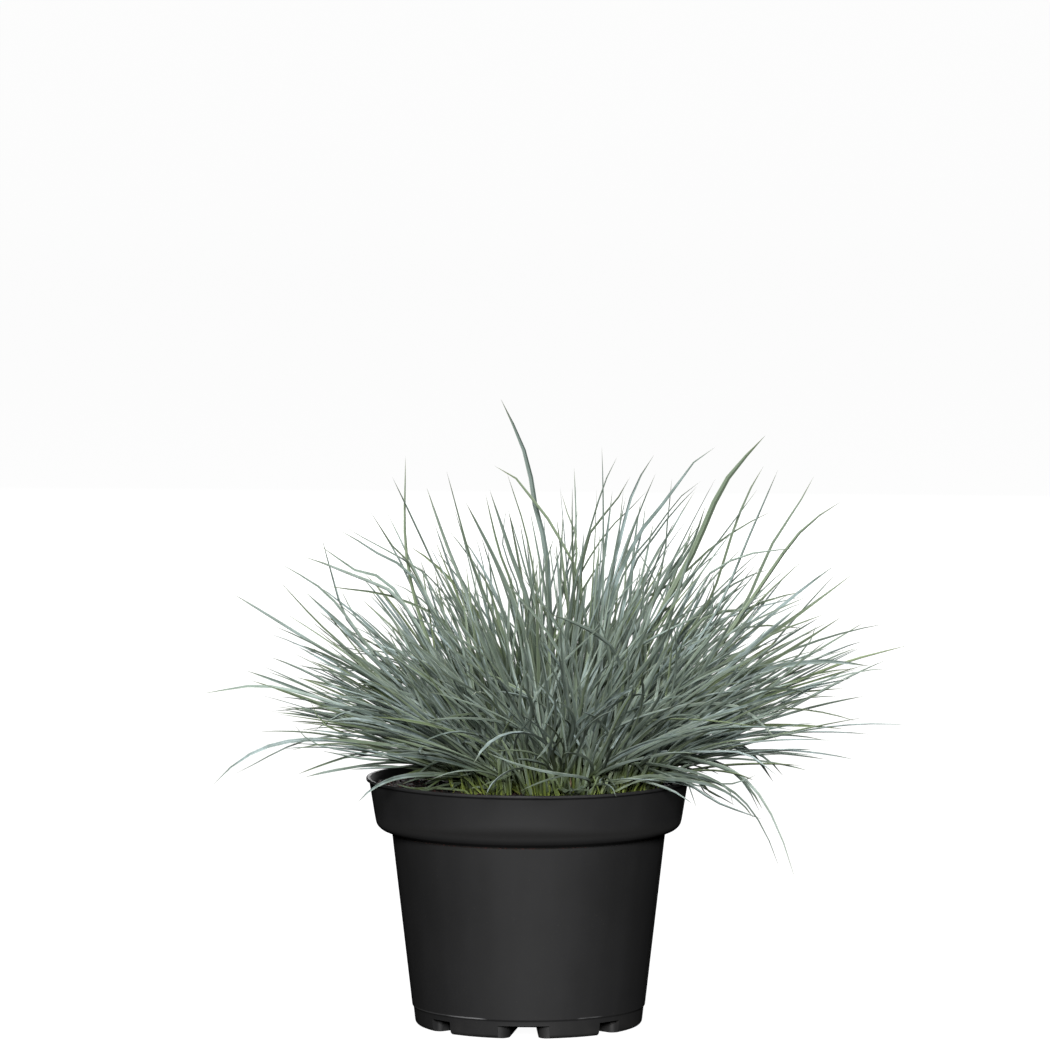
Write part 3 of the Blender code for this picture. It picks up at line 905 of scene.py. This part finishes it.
def clearPot(path):
    # lifts a path where it would run into the soil or the rim: the floor under it is the soil,
    # then the rim, then falls away outside the pot; z = floor + softened (z - floor)
    reach = np.hypot(path[..., 0], path[..., 1])
    rimR = potHigh.x
    soilTop = soilHigh.z + 0.4 * mm
    overRim = smooth(reach, rimR - 16.0 * mm, rimR - 3.0 * mm)
    floor = soilTop + (potHigh.z + 1.6 * mm - soilTop) * overRim
    floor = floor - np.maximum(0.0, reach - rimR - 3.0 * mm) * 2.2
    above = path[..., 2] - floor
    soft = 1.6 * mm
    lifted = floor + soft * np.logaddexp(0.0, above / soft)
    share = np.linspace(0.0, 1.0, path.shape[1])
    held = smooth(share, 0.02, 0.14)[None]
    lifted = path[..., 2] * (1.0 - held) + lifted * held
    return np.concatenate([path[..., :2], lifted[..., None]], -1)


def shortened(foot, heading, length):
    # a low blade that points to the front stops short of the rim, and one that would hang
    # outside the pot or sag far from it is cut back
    end = foot + heading[:, :-1].mean(axis=1) * length[:, None]
    reach = np.hypot(end[:, 0], end[:, 1])
    above = end[:, 2] - soilHigh.z
    share = np.where((end[:, 1] < -0.052) & (above < 26.0 * mm), 0.50, 1.0)
    share = np.where((reach > 0.120) & (above < 22.0 * mm), 0.75, share)
    share = np.where((reach > 0.058) & (above < 12.0 * mm), 0.45, share)
    return length * share


def walked(foot, heading, length):
    # path of a blade: its foot plus the running sum of its headings, in equal steps
    many, steps = heading.shape[:2]
    step = (length / (steps - 1))[:, None, None]
    run = np.concatenate([np.zeros((many, 1, 3)), np.cumsum(heading[:, :-1], axis=1)], 1)
    return foot[:, None] + run * step


def fanPaths(rng):
    # blade i of a tiller: its heading is the tiller's own, turned towards a random side by an
    # angle that grows along it, plus a droop of s^2 and a sideways curl; the path is the sum of
    # the headings
    lines = tillerLines()
    each = clump["blades"]
    foot, half, tip = [np.repeat(part, each, axis=0)[:, None] for part in
                       (lines[:, 0], lines[:, 1], lines[:, 2])]
    many = len(foot)
    steps = bladeShape["rings"] + 1
    s = np.linspace(0.0, 1.0, steps)[None, :, None]
    heading = unit(unit(half - foot) * (1.0 - s) + unit(tip - half) * s)
    random = unit(rng.normal(0.0, 1.0, (many, 1, 3)))
    aside = unit(random - (random * heading).sum(-1, keepdims=True) * heading)
    wild = 1.0 + 1.1 * (rng.uniform(0.0, 1.0, many) < clump["wildShare"])
    turn = np.abs(rng.normal(0.0, clump["spread"], many)) * wild + 2.0
    turn = np.clip(turn, 0.0, clump["spreadMost"])
    turn = np.radians(turn)[:, None, None] * (0.25 + 0.75 * smooth(s, 0.0, 0.7))
    heading = heading * np.cos(turn) + aside * np.sin(turn)
    droop = rng.gamma(1.6, 0.5, many)[:, None, None] * clump["droop"] * 0.6
    heading = heading - upward * droop * s ** 2
    curl = rng.normal(0.0, clump["curl"], (many, 1, 1)) * wild[:, None, None]
    sway = rng.normal(0.0, clump["sway"], (many, 1, 1))
    sway = sway * np.sin(2.0 * np.pi * s + rng.uniform(0.0, 6.3, (many, 1, 1)))
    heading = unit(heading + np.cross(heading, upward) * (curl * s + sway))
    own = np.linalg.norm(tip - foot, axis=-1)
    low, high = clump["length"]
    length = own * (low + (high - low) * rng.beta(2.2, 1.8, (many, 1)))
    length = shortened(foot[:, 0], heading, length[:, 0])
    start = foot + rng.normal(0.0, 0.5, (many, 1, 3)) * clump["footSpread"] * mm * level
    start = start - clump["footDepth"] * mm * upward
    return clearPot(walked(start[:, 0], heading, length))


def bladeLook(rng, many, width=None, tone=None):
    low, high = clump["width"]
    chosen = low + (high - low) * rng.beta(1.5, 2.0, many) if width is None else width
    narrow = 1.0 - (chosen - low) / (high - low)
    foldLow, foldHigh = clump["fold"]
    share = np.clip(narrow * 0.6 + rng.uniform(0.0, 0.5, many), 0, 1)
    fold = foldLow + (foldHigh - foldLow) * share
    tones = rng.uniform(0.0, 0.62, many) if tone is None else tone
    greener = rng.uniform(0.0, 1.0, many) < clump["greenShare"]
    if tone is None:
        tones = np.where(greener, rng.uniform(0.7, 1.0, many), tones)
    age = np.where(rng.uniform(0.0, 1.0, many) < clump["witheredShare"],
                   rng.uniform(0.8, 1.0, many), rng.uniform(0.0, 0.7, many))
    return {
        "width": chosen * mm,
        "fold": np.radians(fold),
        "roll": rng.normal(0.0, clump["roll"], many),
        "twist": rng.normal(0.0, clump["twist"], many),
        "tone": tones,
        "age": age,
        "taper": rng.uniform(*bladeShape["taper"], many),
    }


def buildTillers(rng, paint):
    path = fanPaths(rng)
    look = bladeLook(rng, len(path))
    each = clump["blades"]
    for number, node in enumerate(tillerNodes):
        part = slice(number * each, (number + 1) * each)
        own = {key: value[part] for key, value in look.items()}
        name = "bladeFan" + node[-2:]
        newPiece(name, bladeMesh(name, path[part], own), paint, [node])
    print("tillers:", len(tillerNodes), "pieces,", len(path), "blades")


tuftShape = {
    "tufts": 44,
    "ring": (33.0, 45.0),       # mm from the crown's middle
    "blades": 7,
    "lean": (12.0, 58.0),
    "length": (38.0, 112.0),
    "spread": 32.0,
    "depth": 6.0,               # mm that a shoot starts below the soil
    "fan": 120,
    "fanRing": (34.0, 56.0),
    "fanLength": (40.0, 105.0),
    "fanTurn": 62.0,            # degrees to either side of the front
    "fanLean": 56.0,            # lean of a shoot whose foot lies 50 mm to one side
    "fanDepth": 5.0,
    "stubs": 70,
    "stubLength": (5.0, 15.0),
}


def buildTufts(rng, paint):
    # young shoots on a ring round the crown: heading at lean from upright, turned at random,
    # drooping with s^2; then a fan at the front, and short dry sheaths among their feet
    steps = bladeShape["rings"] + 1
    s = np.linspace(0.0, 1.0, steps)[None, :, None]
    middle = crownPoint()

    def grow(bearing, far, lean, length, spread):
        many = len(bearing)
        out = np.stack([np.cos(bearing), np.sin(bearing), 0.0 * bearing], -1)
        foot = middle + out * far[:, None] - tuftShape["depth"] * mm * upward
        foot = foot + rng.normal(0.0, 1.6, (many, 3)) * mm * np.array([1.0, 1.0, 0.2])
        heading = out * np.sin(lean)[:, None] + upward * np.cos(lean)[:, None]
        heading = heading[:, None] + 1.3 * upward * (1.0 - smooth(s, 0.0, 0.22))
        heading = unit(heading)
        random = unit(rng.normal(0.0, 1.0, (many, 1, 3)))
        aside = unit(random - (random * heading).sum(-1, keepdims=True) * heading)
        turn = np.radians(np.abs(rng.normal(0.0, spread, many)))[:, None, None] * (0.3 + 0.7 * s)
        heading = heading * np.cos(turn) + aside * np.sin(turn)
        droop = rng.gamma(1.6, 0.5, many)[:, None, None] * 0.35
        heading = unit(heading - upward * droop * s ** 2)
        return clearPot(walked(foot, heading, shortened(foot, heading, length)))

    count, each = tuftShape["tufts"], tuftShape["blades"]
    turn = (np.arange(count) + rng.uniform(-0.4, 0.4, count)) * 2.0 * np.pi / count
    far = rng.uniform(*tuftShape["ring"], count) * mm
    lean = np.radians(rng.uniform(*tuftShape["lean"], count))
    bearing, far, lean = [np.repeat(part, each) for part in (turn, far, lean)]
    length = rng.uniform(*tuftShape["length"], count * each) * mm
    # at the front they start further out, and stay short and more upright
    front = smooth(-np.sin(bearing), 0.2, 0.8)
    path = grow(bearing, far + 9.0 * mm * front, lean * (1.0 - 0.35 * front),
                length * (1.0 - 0.45 * front), tuftShape["spread"])
    look = bladeLook(rng, count * each)
    quarter = count * each // 4 + 1
    for number in range(4):
        part = slice(number * quarter, (number + 1) * quarter)
        own = {key: value[part] for key, value in look.items()}
        newPiece(f"edgeShoots{number + 1}", bladeMesh("edgeShoots", path[part], own), paint, ())
    # a low fan of young shoots just inside the front rim, leaning the way their foot lies
    many = tuftShape["fan"]
    turn = np.radians(-90.0 + rng.uniform(-tuftShape["fanTurn"], tuftShape["fanTurn"], many))
    far = rng.uniform(*tuftShape["fanRing"], many) * mm
    aside = np.cos(turn) * far / (50.0 * mm)
    depth = tuftShape["fanDepth"] * mm
    foot = middle + np.stack([np.cos(turn) * far, np.sin(turn) * far, -depth + 0.0 * far], -1)
    lean = np.radians(tuftShape["fanLean"] * aside + rng.normal(0.0, 22.0, many))[:, None, None]
    towards = np.radians(rng.normal(2.0, 13.0, many))[:, None, None]
    bend = lean * (0.60 + 0.85 * s)
    heading = unit(np.concatenate([np.sin(bend), -np.sin(towards) * (0.5 + s), np.cos(bend)], -1))
    length = rng.uniform(*tuftShape["fanLength"], many) * mm
    path = walked(foot, heading, shortened(foot, heading, length))
    own = bladeLook(rng, many, rng.uniform(1.5, 2.6, many), rng.uniform(0.0, 0.8, many))
    newPiece("rimShoots", bladeMesh("rimShoots", clearPot(path), own), paint, ())
    many = tuftShape["stubs"]
    path = grow(rng.uniform(0.0, 2.0 * np.pi, many), rng.uniform(20.0, 45.0, many) * mm,
                np.radians(rng.uniform(5.0, 60.0, many)),
                rng.uniform(*tuftShape["stubLength"], many) * mm, 12.0)
    own = bladeLook(rng, many, rng.uniform(1.4, 2.8, many), rng.uniform(0.0, 1.0, many))
    own["age"] = rng.uniform(0.80, 1.1, many)
    newPiece("drySheaths", bladeMesh("drySheaths", path, own), paint, ())
    print("tufts:", count * each, "blades,", tuftShape["fan"], "at the rim,", many, "sheaths")


def through(points, steps):
    # Catmull-Rom curve through the points, sampled evenly by length
    points = np.array(points, float)
    ends = np.concatenate([[2 * points[0] - points[1]], points, [2 * points[-1] - points[-2]]])
    fine = []
    t = np.linspace(0.0, 1.0, 24, endpoint=False)[:, None]
    for a, b, c, d in zip(ends[:-3], ends[1:-2], ends[2:-1], ends[3:]):
        fine.append(0.5 * (2 * b + (c - a) * t + (2 * a - 5 * b + 4 * c - d) * t ** 2
                           + (3 * b - a - 3 * c + d) * t ** 3))
    fine = np.concatenate(fine + [points[-1:]])
    run = np.concatenate([[0.0], np.cumsum(np.linalg.norm(np.diff(fine, axis=0), axis=1))])
    even = np.linspace(0.0, run[-1], steps)
    return np.column_stack([np.interp(even, run, fine[:, axis]) for axis in range(3)])


def archLine(name, steps):
    # middle line of an arching blade's solid: each coordinate as a quartic of the distance out
    points = nodePoints(name)
    crown = np.array([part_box(tillerNodes[0])[0].x, 0.0])
    out = np.linalg.norm(points[:, :2] - crown, axis=1)
    span = np.linspace(out.min(), out.max(), steps)
    fits = [np.polyfit(out, points[:, axis], 4) for axis in range(3)]
    return np.column_stack([np.polyval(fit, span) for fit in fits])


archShape = {"width": 2.8, "tone": 0.25}


def buildArches(rng, paint):
    steps = bladeShape["rings"] + 1
    for number, node in enumerate(archNodes):
        path = archLine(node, steps)[None]
        own = bladeLook(rng, 1, np.array([archShape["width"]]), np.array([archShape["tone"]]))
        name = f"archingBlade{number + 1:02d}"
        newPiece(name, bladeMesh(name, path, own), paint, [node])
    print("arching blades:", len(archNodes))


# Blades that make the clump's outline and the curls over the rim, in mm. Each starts at the
# crown and passes through its points to its tip: points, width, tone (0 blue, 1 green)
leftBlades = [
    ([(-49, -4, 200), (-68, -4, 217), (-78, -4, 224), (-88, -4, 230)], 2.3, 0.4),
    ([(-44, 6, 200), (-63, 8, 217), (-75, 8, 224), (-86, 8, 231)], 1.6, 0.5),
    ([(-60, 5, 160), (-83, 5, 185), (-91, 5, 207), (-96, 5, 227)], 2.0, 0.5),
    ([(-59, -10, 198), (-79, -12, 211), (-97, -14, 224)], 1.9, 0.6),
    ([(-55, -14, 192), (-82, -18, 210), (-104, -20, 219)], 2.1, 0.3),
    ([(-50, 2, 203), (-62, 2, 220), (-74, 2, 239)], 2.0, 0.7),
    ([(-70, -8, 160), (-95, -5, 174), (-137, 0, 200)], 2.3, 0.4),
    ([(-60, 0, 155), (-91, 0, 197), (-115, 0, 214)], 2.2, 0.3),
    ([(-79, -15, 171), (-97, -18, 188), (-115, -20, 208)], 2.0, 0.8),
    ([(-60, 8, 160), (-81, 5, 180), (-103, 4, 200)], 1.8, 0.3),
    ([(-66, 20, 174), (-91, 15, 197), (-101, 15, 204)], 1.8, 0.2),
    ([(-60, 20, 168), (-79, 25, 184), (-88, 30, 200)], 2.0, 0.6),
    ([(-34, 5, 178), (-60, 5, 197), (-94, 5, 203)], 1.6, 0.7),
    ([(-60, -20, 152), (-88, -25, 168), (-107, -30, 179)], 2.0, 0.3),
    ([(-50, -30, 147), (-74, -38, 163), (-106, -42, 171)], 2.2, 0.2),
    ([(-45, -25, 140), (-67, -30, 152), (-100, -35, 163)], 2.4, 0.3),
    ([(-55, -15, 137), (-81, -20, 148), (-120, -22, 159), (-150, -25, 156)], 2.3, 0.6),
    ([(-60, 0, 135), (-95, 0, 146), (-120, 0, 145)], 1.4, 0.4),
    ([(-60, 10, 137), (-92, 12, 142), (-119, 15, 146)], 1.2, 0.9),
    ([(-50, -35, 132), (-80, -45, 139), (-94, -48, 145), (-100, -48, 156)], 1.6, 0.8),
    ([(-50, -30, 140), (-70, -35, 149), (-85, -38, 148), (-99, -40, 140)], 2.1, 0.2),
    ([(-45, -35, 132), (-75, -48, 146), (-93, -52, 146)], 2.2, 0.3),
    ([(-45, -20, 134), (-74, -25, 143), (-93, -28, 149)], 1.6, 0.9),
    ([(-60, -5, 131), (-100, -8, 133), (-136, -10, 117)], 1.5, 0.3),
    ([(-50, -30, 124), (-80, -45, 131), (-98, -52, 136), (-107, -55, 145)], 1.3, 0.5),
    ([(-45, -25, 123), (-74, -38, 127), (-95, -45, 132)], 1.8, 0.2),
    ([(-40, -20, 121), (-62, -28, 122), (-82, -34, 122)], 1.6, 0.3),
]
topBlades = [
    ([(-44, 5, 172), (-56, 8, 215), (-57, 10, 263)], 2.0, 0.8),
    ([(-30, 0, 182), (-44, 0, 213), (-63, 0, 254)], 1.9, 0.5),
    ([(-40, 15, 180), (-57, 20, 217), (-66, 22, 236)], 1.8, 0.3),
    ([(-48, 25, 185), (-60, 30, 212), (-69, 34, 227)], 1.6, 0.4),
    ([(-22, -5, 182), (-37, -8, 222), (-47, -10, 250)], 2.0, 0.6),
    ([(-20, 10, 175), (-34, 12, 203), (-44, 14, 232)], 2.0, 0.2),
    ([(-14, 0, 180), (-27, 0, 216), (-38, 0, 257)], 2.1, 0.7),
    ([(-16, 20, 178), (-27, 28, 212), (-35, 30, 238)], 1.5, 0.2),
    ([(-10, 30, 180), (-24, 35, 208), (-38, 38, 227)], 1.4, 0.6),
    ([(2, -18, 165), (-9, -24, 202), (-29, -30, 245)], 3.2, 0.05),
    ([(-5, 10, 190), (-14, 12, 220), (-20, 14, 245)], 1.6, 0.7),
    ([(2, -8, 185), (-9, -10, 222), (-18, -12, 249)], 2.4, 0.1),
    ([(6, -4, 180), (-2, -5, 212), (-10, -6, 241)], 2.4, 0.15),
    ([(5, 4, 185), (-1, 5, 225), (-10, 8, 255)], 1.5, 0.8),
    ([(9, 2, 210), (4, 3, 236), (0, 3, 260), (-6, 4, 276), (-13, 4, 290)], 2.6, 0.35),
    ([(20, -2, 200), (22, -2, 222), (20, -2, 232), (17, -2, 239), (15, -2, 247)], 1.8, 0.95),
    ([(19, 6, 200), (22, 6, 222), (22, 6, 240), (21, 6, 258)], 1.5, 0.5),
    ([(24, -10, 195), (14, -10, 226), (1, -10, 245), (-6, -10, 254), (-16, -10, 260)], 1.9, 0.8),
    ([(-4, 8, 195), (-12, 8, 220), (-10, 8, 241)], 1.6, 0.3),
    ([(56, -8, 180), (75, -10, 218), (88, -10, 248), (98, -10, 262), (109, -10, 274)], 3.2, 0.85),
    ([(70, 12, 172), (85, 14, 197), (95, 15, 227), (102, 15, 245), (109, 15, 258)], 2.1, 0.95),
    ([(66, -5, 160), (87, -6, 192), (102, -6, 227), (110, -6, 246), (115, -6, 258)], 1.9, 0.5),
    ([(80, 5, 165), (99, 6, 191), (113, 6, 222), (124, 6, 239), (132, 6, 254)], 2.4, 0.7),
    ([(84, -12, 170), (104, -14, 200), (121, -15, 225), (132, -15, 236), (144, -15, 244)],
     2.3, 0.9),
    ([(40, 18, 180), (70, 20, 205), (85, 20, 219), (99, 20, 229), (114, 20, 237)], 1.9, 0.8),
    ([(36, -12, 190), (49, -14, 225), (64, -14, 245), (78, -14, 264), (86, -14, 269)], 2.4, 0.2),
    ([(45, 8, 200), (56, 8, 222), (67, 8, 237), (78, 8, 249)], 1.9, 0.3),
    ([(34, 4, 190), (41, 4, 220), (47, 4, 244), (52, 4, 255), (58, 4, 264)], 2.2, 0.25),
    ([(22, 14, 190), (28, 14, 225), (34, 14, 234), (42, 14, 244), (47, 14, 253)], 1.7, 0.9),
    ([(20, -4, 195), (28, -4, 228), (35, -4, 251), (39, -4, 259), (41, -4, 264)], 1.7, 0.6),
    ([(20, 20, 190), (28, 20, 214), (42, 20, 233), (50, 20, 240), (55, 20, 246)], 1.6, 0.85),
    ([(40, -20, 200), (59, -22, 232), (71, -24, 248), (79, -24, 254)], 2.1, 0.5),
    ([(60, -4, 205), (64, -5, 232), (66, -5, 254)], 1.5, 0.4),
    ([(56, 10, 190), (74, 12, 218), (82, 12, 240)], 2.0, 0.4),
    ([(46, -6, 205), (52, -6, 228), (54, -6, 243)], 1.7, 0.3),
    ([(52, 16, 200), (66, 16, 228), (77, 16, 246)], 1.7, 0.3),
]
rightBlades = [
    ([(77, -20, 200), (93, -22, 217), (108, -22, 221), (125, -22, 223)], 1.7, 0.6),
    ([(75, 0, 182), (101, 0, 193), (113, 0, 198), (128, 0, 201)], 1.8, 0.7),
    ([(70, 10, 172), (103, 14, 183), (130, 16, 182)], 1.6, 0.9),
    ([(60, -10, 128), (90, -14, 138), (120, -16, 150)], 1.8, 0.6),
    ([(55, 0, 140), (85, 2, 168), (119, 5, 208)], 2.2, 0.3),
    ([(60, 15, 150), (90, 20, 178), (112, 22, 198)], 2.0, 0.4),
    ([(60, 0, 148), (100, 0, 173), (136, 0, 199), (151, 0, 210)], 2.3, 0.95),
    ([(70, 25, 172), (100, 30, 188), (130, 33, 196)], 1.7, 0.3),
    ([(70, -10, 152), (105, -12, 178), (137, -14, 192)], 1.8, 0.8),
    ([(75, 10, 144), (110, 12, 159), (128, 14, 172), (134, 15, 185)], 1.6, 0.5),
    ([(75, -20, 150), (112, -28, 172), (144, -35, 193)], 2.1, 0.9),
    ([(70, -5, 146), (105, -6, 162), (139, -8, 176)], 2.0, 0.2),
    ([(60, -20, 139), (92, -30, 158), (113, -36, 179)], 1.9, 0.3),
    ([(55, 0, 131), (100, 0, 148), (142, 0, 166), (176, 0, 176)], 2.5, 0.95),
    ([(60, -15, 142), (100, -22, 164), (133, -25, 171), (157, -28, 169)], 2.6, 0.15),
    ([(45, -30, 141), (68, -38, 151), (83, -42, 157), (100, -46, 160)], 2.2, 0.2),
    ([(60, -30, 131), (95, -42, 143), (123, -50, 156)], 1.9, 0.6),
    ([(48, -35, 140), (72, -45, 152), (93, -52, 153), (104, -55, 147), (114, -58, 137)], 2.4, 0.1),
    ([(48, -35, 128), (80, -45, 131), (99, -52, 131), (114, -56, 121)], 2.0, 0.3),
    ([(55, -35, 124), (86, -48, 117), (98, -52, 119), (104, -54, 122)], 1.5, 0.3),
    ([(50, -30, 130), (88, -42, 124), (100, -46, 116), (107, -48, 105)], 1.9, 0.4),
    ([(45, -35, 124), (72, -50, 117), (86, -55, 109), (107, -60, 102)], 1.8, 0.2),
    ([(45, -40, 125), (72, -52, 124), (90, -58, 117), (93, -60, 108)], 1.6, 0.5),
    ([(50, 10, 150), (80, 14, 178), (95, 16, 200)], 2.0, 0.3),
    ([(40, 10, 165), (60, 14, 198), (74, 18, 228)], 2.0, 0.35),
    ([(34, -8, 165), (50, -10, 200), (58, -12, 236)], 2.1, 0.2),
    ([(30, 15, 170), (40, 18, 210), (44, 22, 246)], 1.8, 0.6),
]
rimBlades = [
    ([(5, -28, 116), (-1, -32, 120), (-8, -36, 123), (-18, -40, 122), (-33, -45, 120)], 1.8, 0.5),
    ([(-10, -30, 121), (-9, -32, 126), (-6, -35, 130), (-1, -37, 132), (7, -40, 131),
      (11, -42, 129)], 1.9, 0.1),
    ([(-11, -33, 121), (-9, -37, 120), (-9, -40, 117), (-14, -42, 118)], 1.6, 0.1),
    ([(21, -30, 121), (30, -33, 126), (35, -36, 130), (37, -38, 129), (39, -42, 120)], 1.7, 0.1),
    ([(20, -29, 120), (29, -34, 123), (37, -38, 128)], 1.4, 0.3),
    ([(28, -32, 116), (32, -38, 120), (36, -52, 120), (40, -66, 117)], 1.8, 0.2),
    ([(-25, -30, 118), (-38, -40, 120), (-50, -45, 119), (-58, -49, 117)], 1.8, 0.1),
    ([(-30, -28, 125), (-43, -36, 125), (-50, -42, 121), (-53, -46, 118)], 1.7, 0.1),
    ([(-35, -22, 122), (-50, -28, 121), (-63, -36, 117)], 1.3, 0.9),
    ([(34, -42, 116), (41, -49, 117), (52, -48, 120), (70, -41, 119), (80, -36, 117)], 2.2, 0.1),
    ([(45, -38, 118), (59, -44, 118), (69, -44, 117), (80, -44, 113)], 1.6, 0.3),
    ([(38, -38, 118), (50, -45, 118), (65, -48, 114), (75, -50, 108)], 1.7, 0.2),
    ([(0, -30, 117), (-5, -44, 121), (-14, -58, 120), (-22, -66, 118)], 1.5, 0.4),
]


outlineShape = {
    "widthScale": 1.15,
    "footShare": 0.45,      # how far out the foot lies, as a share of the first point's distance
    "footMost": 29.0,       # mm
    "footDepth": 2.0,
}


def crownPoint():
    feet = tillerLines()[:, 0]
    return np.array([feet[:, 0].mean(), feet[:, 1].mean(), soilHigh.z])


def buildOutline(rng, paint):
    middle = crownPoint()
    steps = bladeShape["rings"] + 1
    groups = {"leftBlades": leftBlades, "topBlades": topBlades, "rightBlades": rightBlades,
              "rimBlades": rimBlades}
    for name, rows in groups.items():
        paths = []
        for points, _, _ in rows:
            points = np.array(points) * mm
            out = (points[0] - middle) * level
            far = np.linalg.norm(out)
            away = min(outlineShape["footShare"] * far, outlineShape["footMost"] * mm)
            foot = middle + out / far * away - outlineShape["footDepth"] * mm * upward
            paths.append(through(np.concatenate([[foot], points]), steps))
        width = np.array([row[1] for row in rows]) * outlineShape["widthScale"]
        tone = np.array([row[2] for row in rows])
        look = bladeLook(rng, len(rows), width, tone)
        newPiece(name, bladeMesh(name, np.array(paths), look), paint, ())
    print("outline blades:", sum(len(rows) for rows in groups.values()))


def build():
    setView()
    setLamps()
    setFloor()
    print("stage set")
    buildPot()
    buildSoil()
    rng = np.random.default_rng(clump["seed"])
    paint = leafPaint("fescueLeaf", leafLook)
    buildTillers(rng, paint)
    buildTufts(rng, paint)
    buildArches(rng, paint)
    buildOutline(rng, paint)


build()
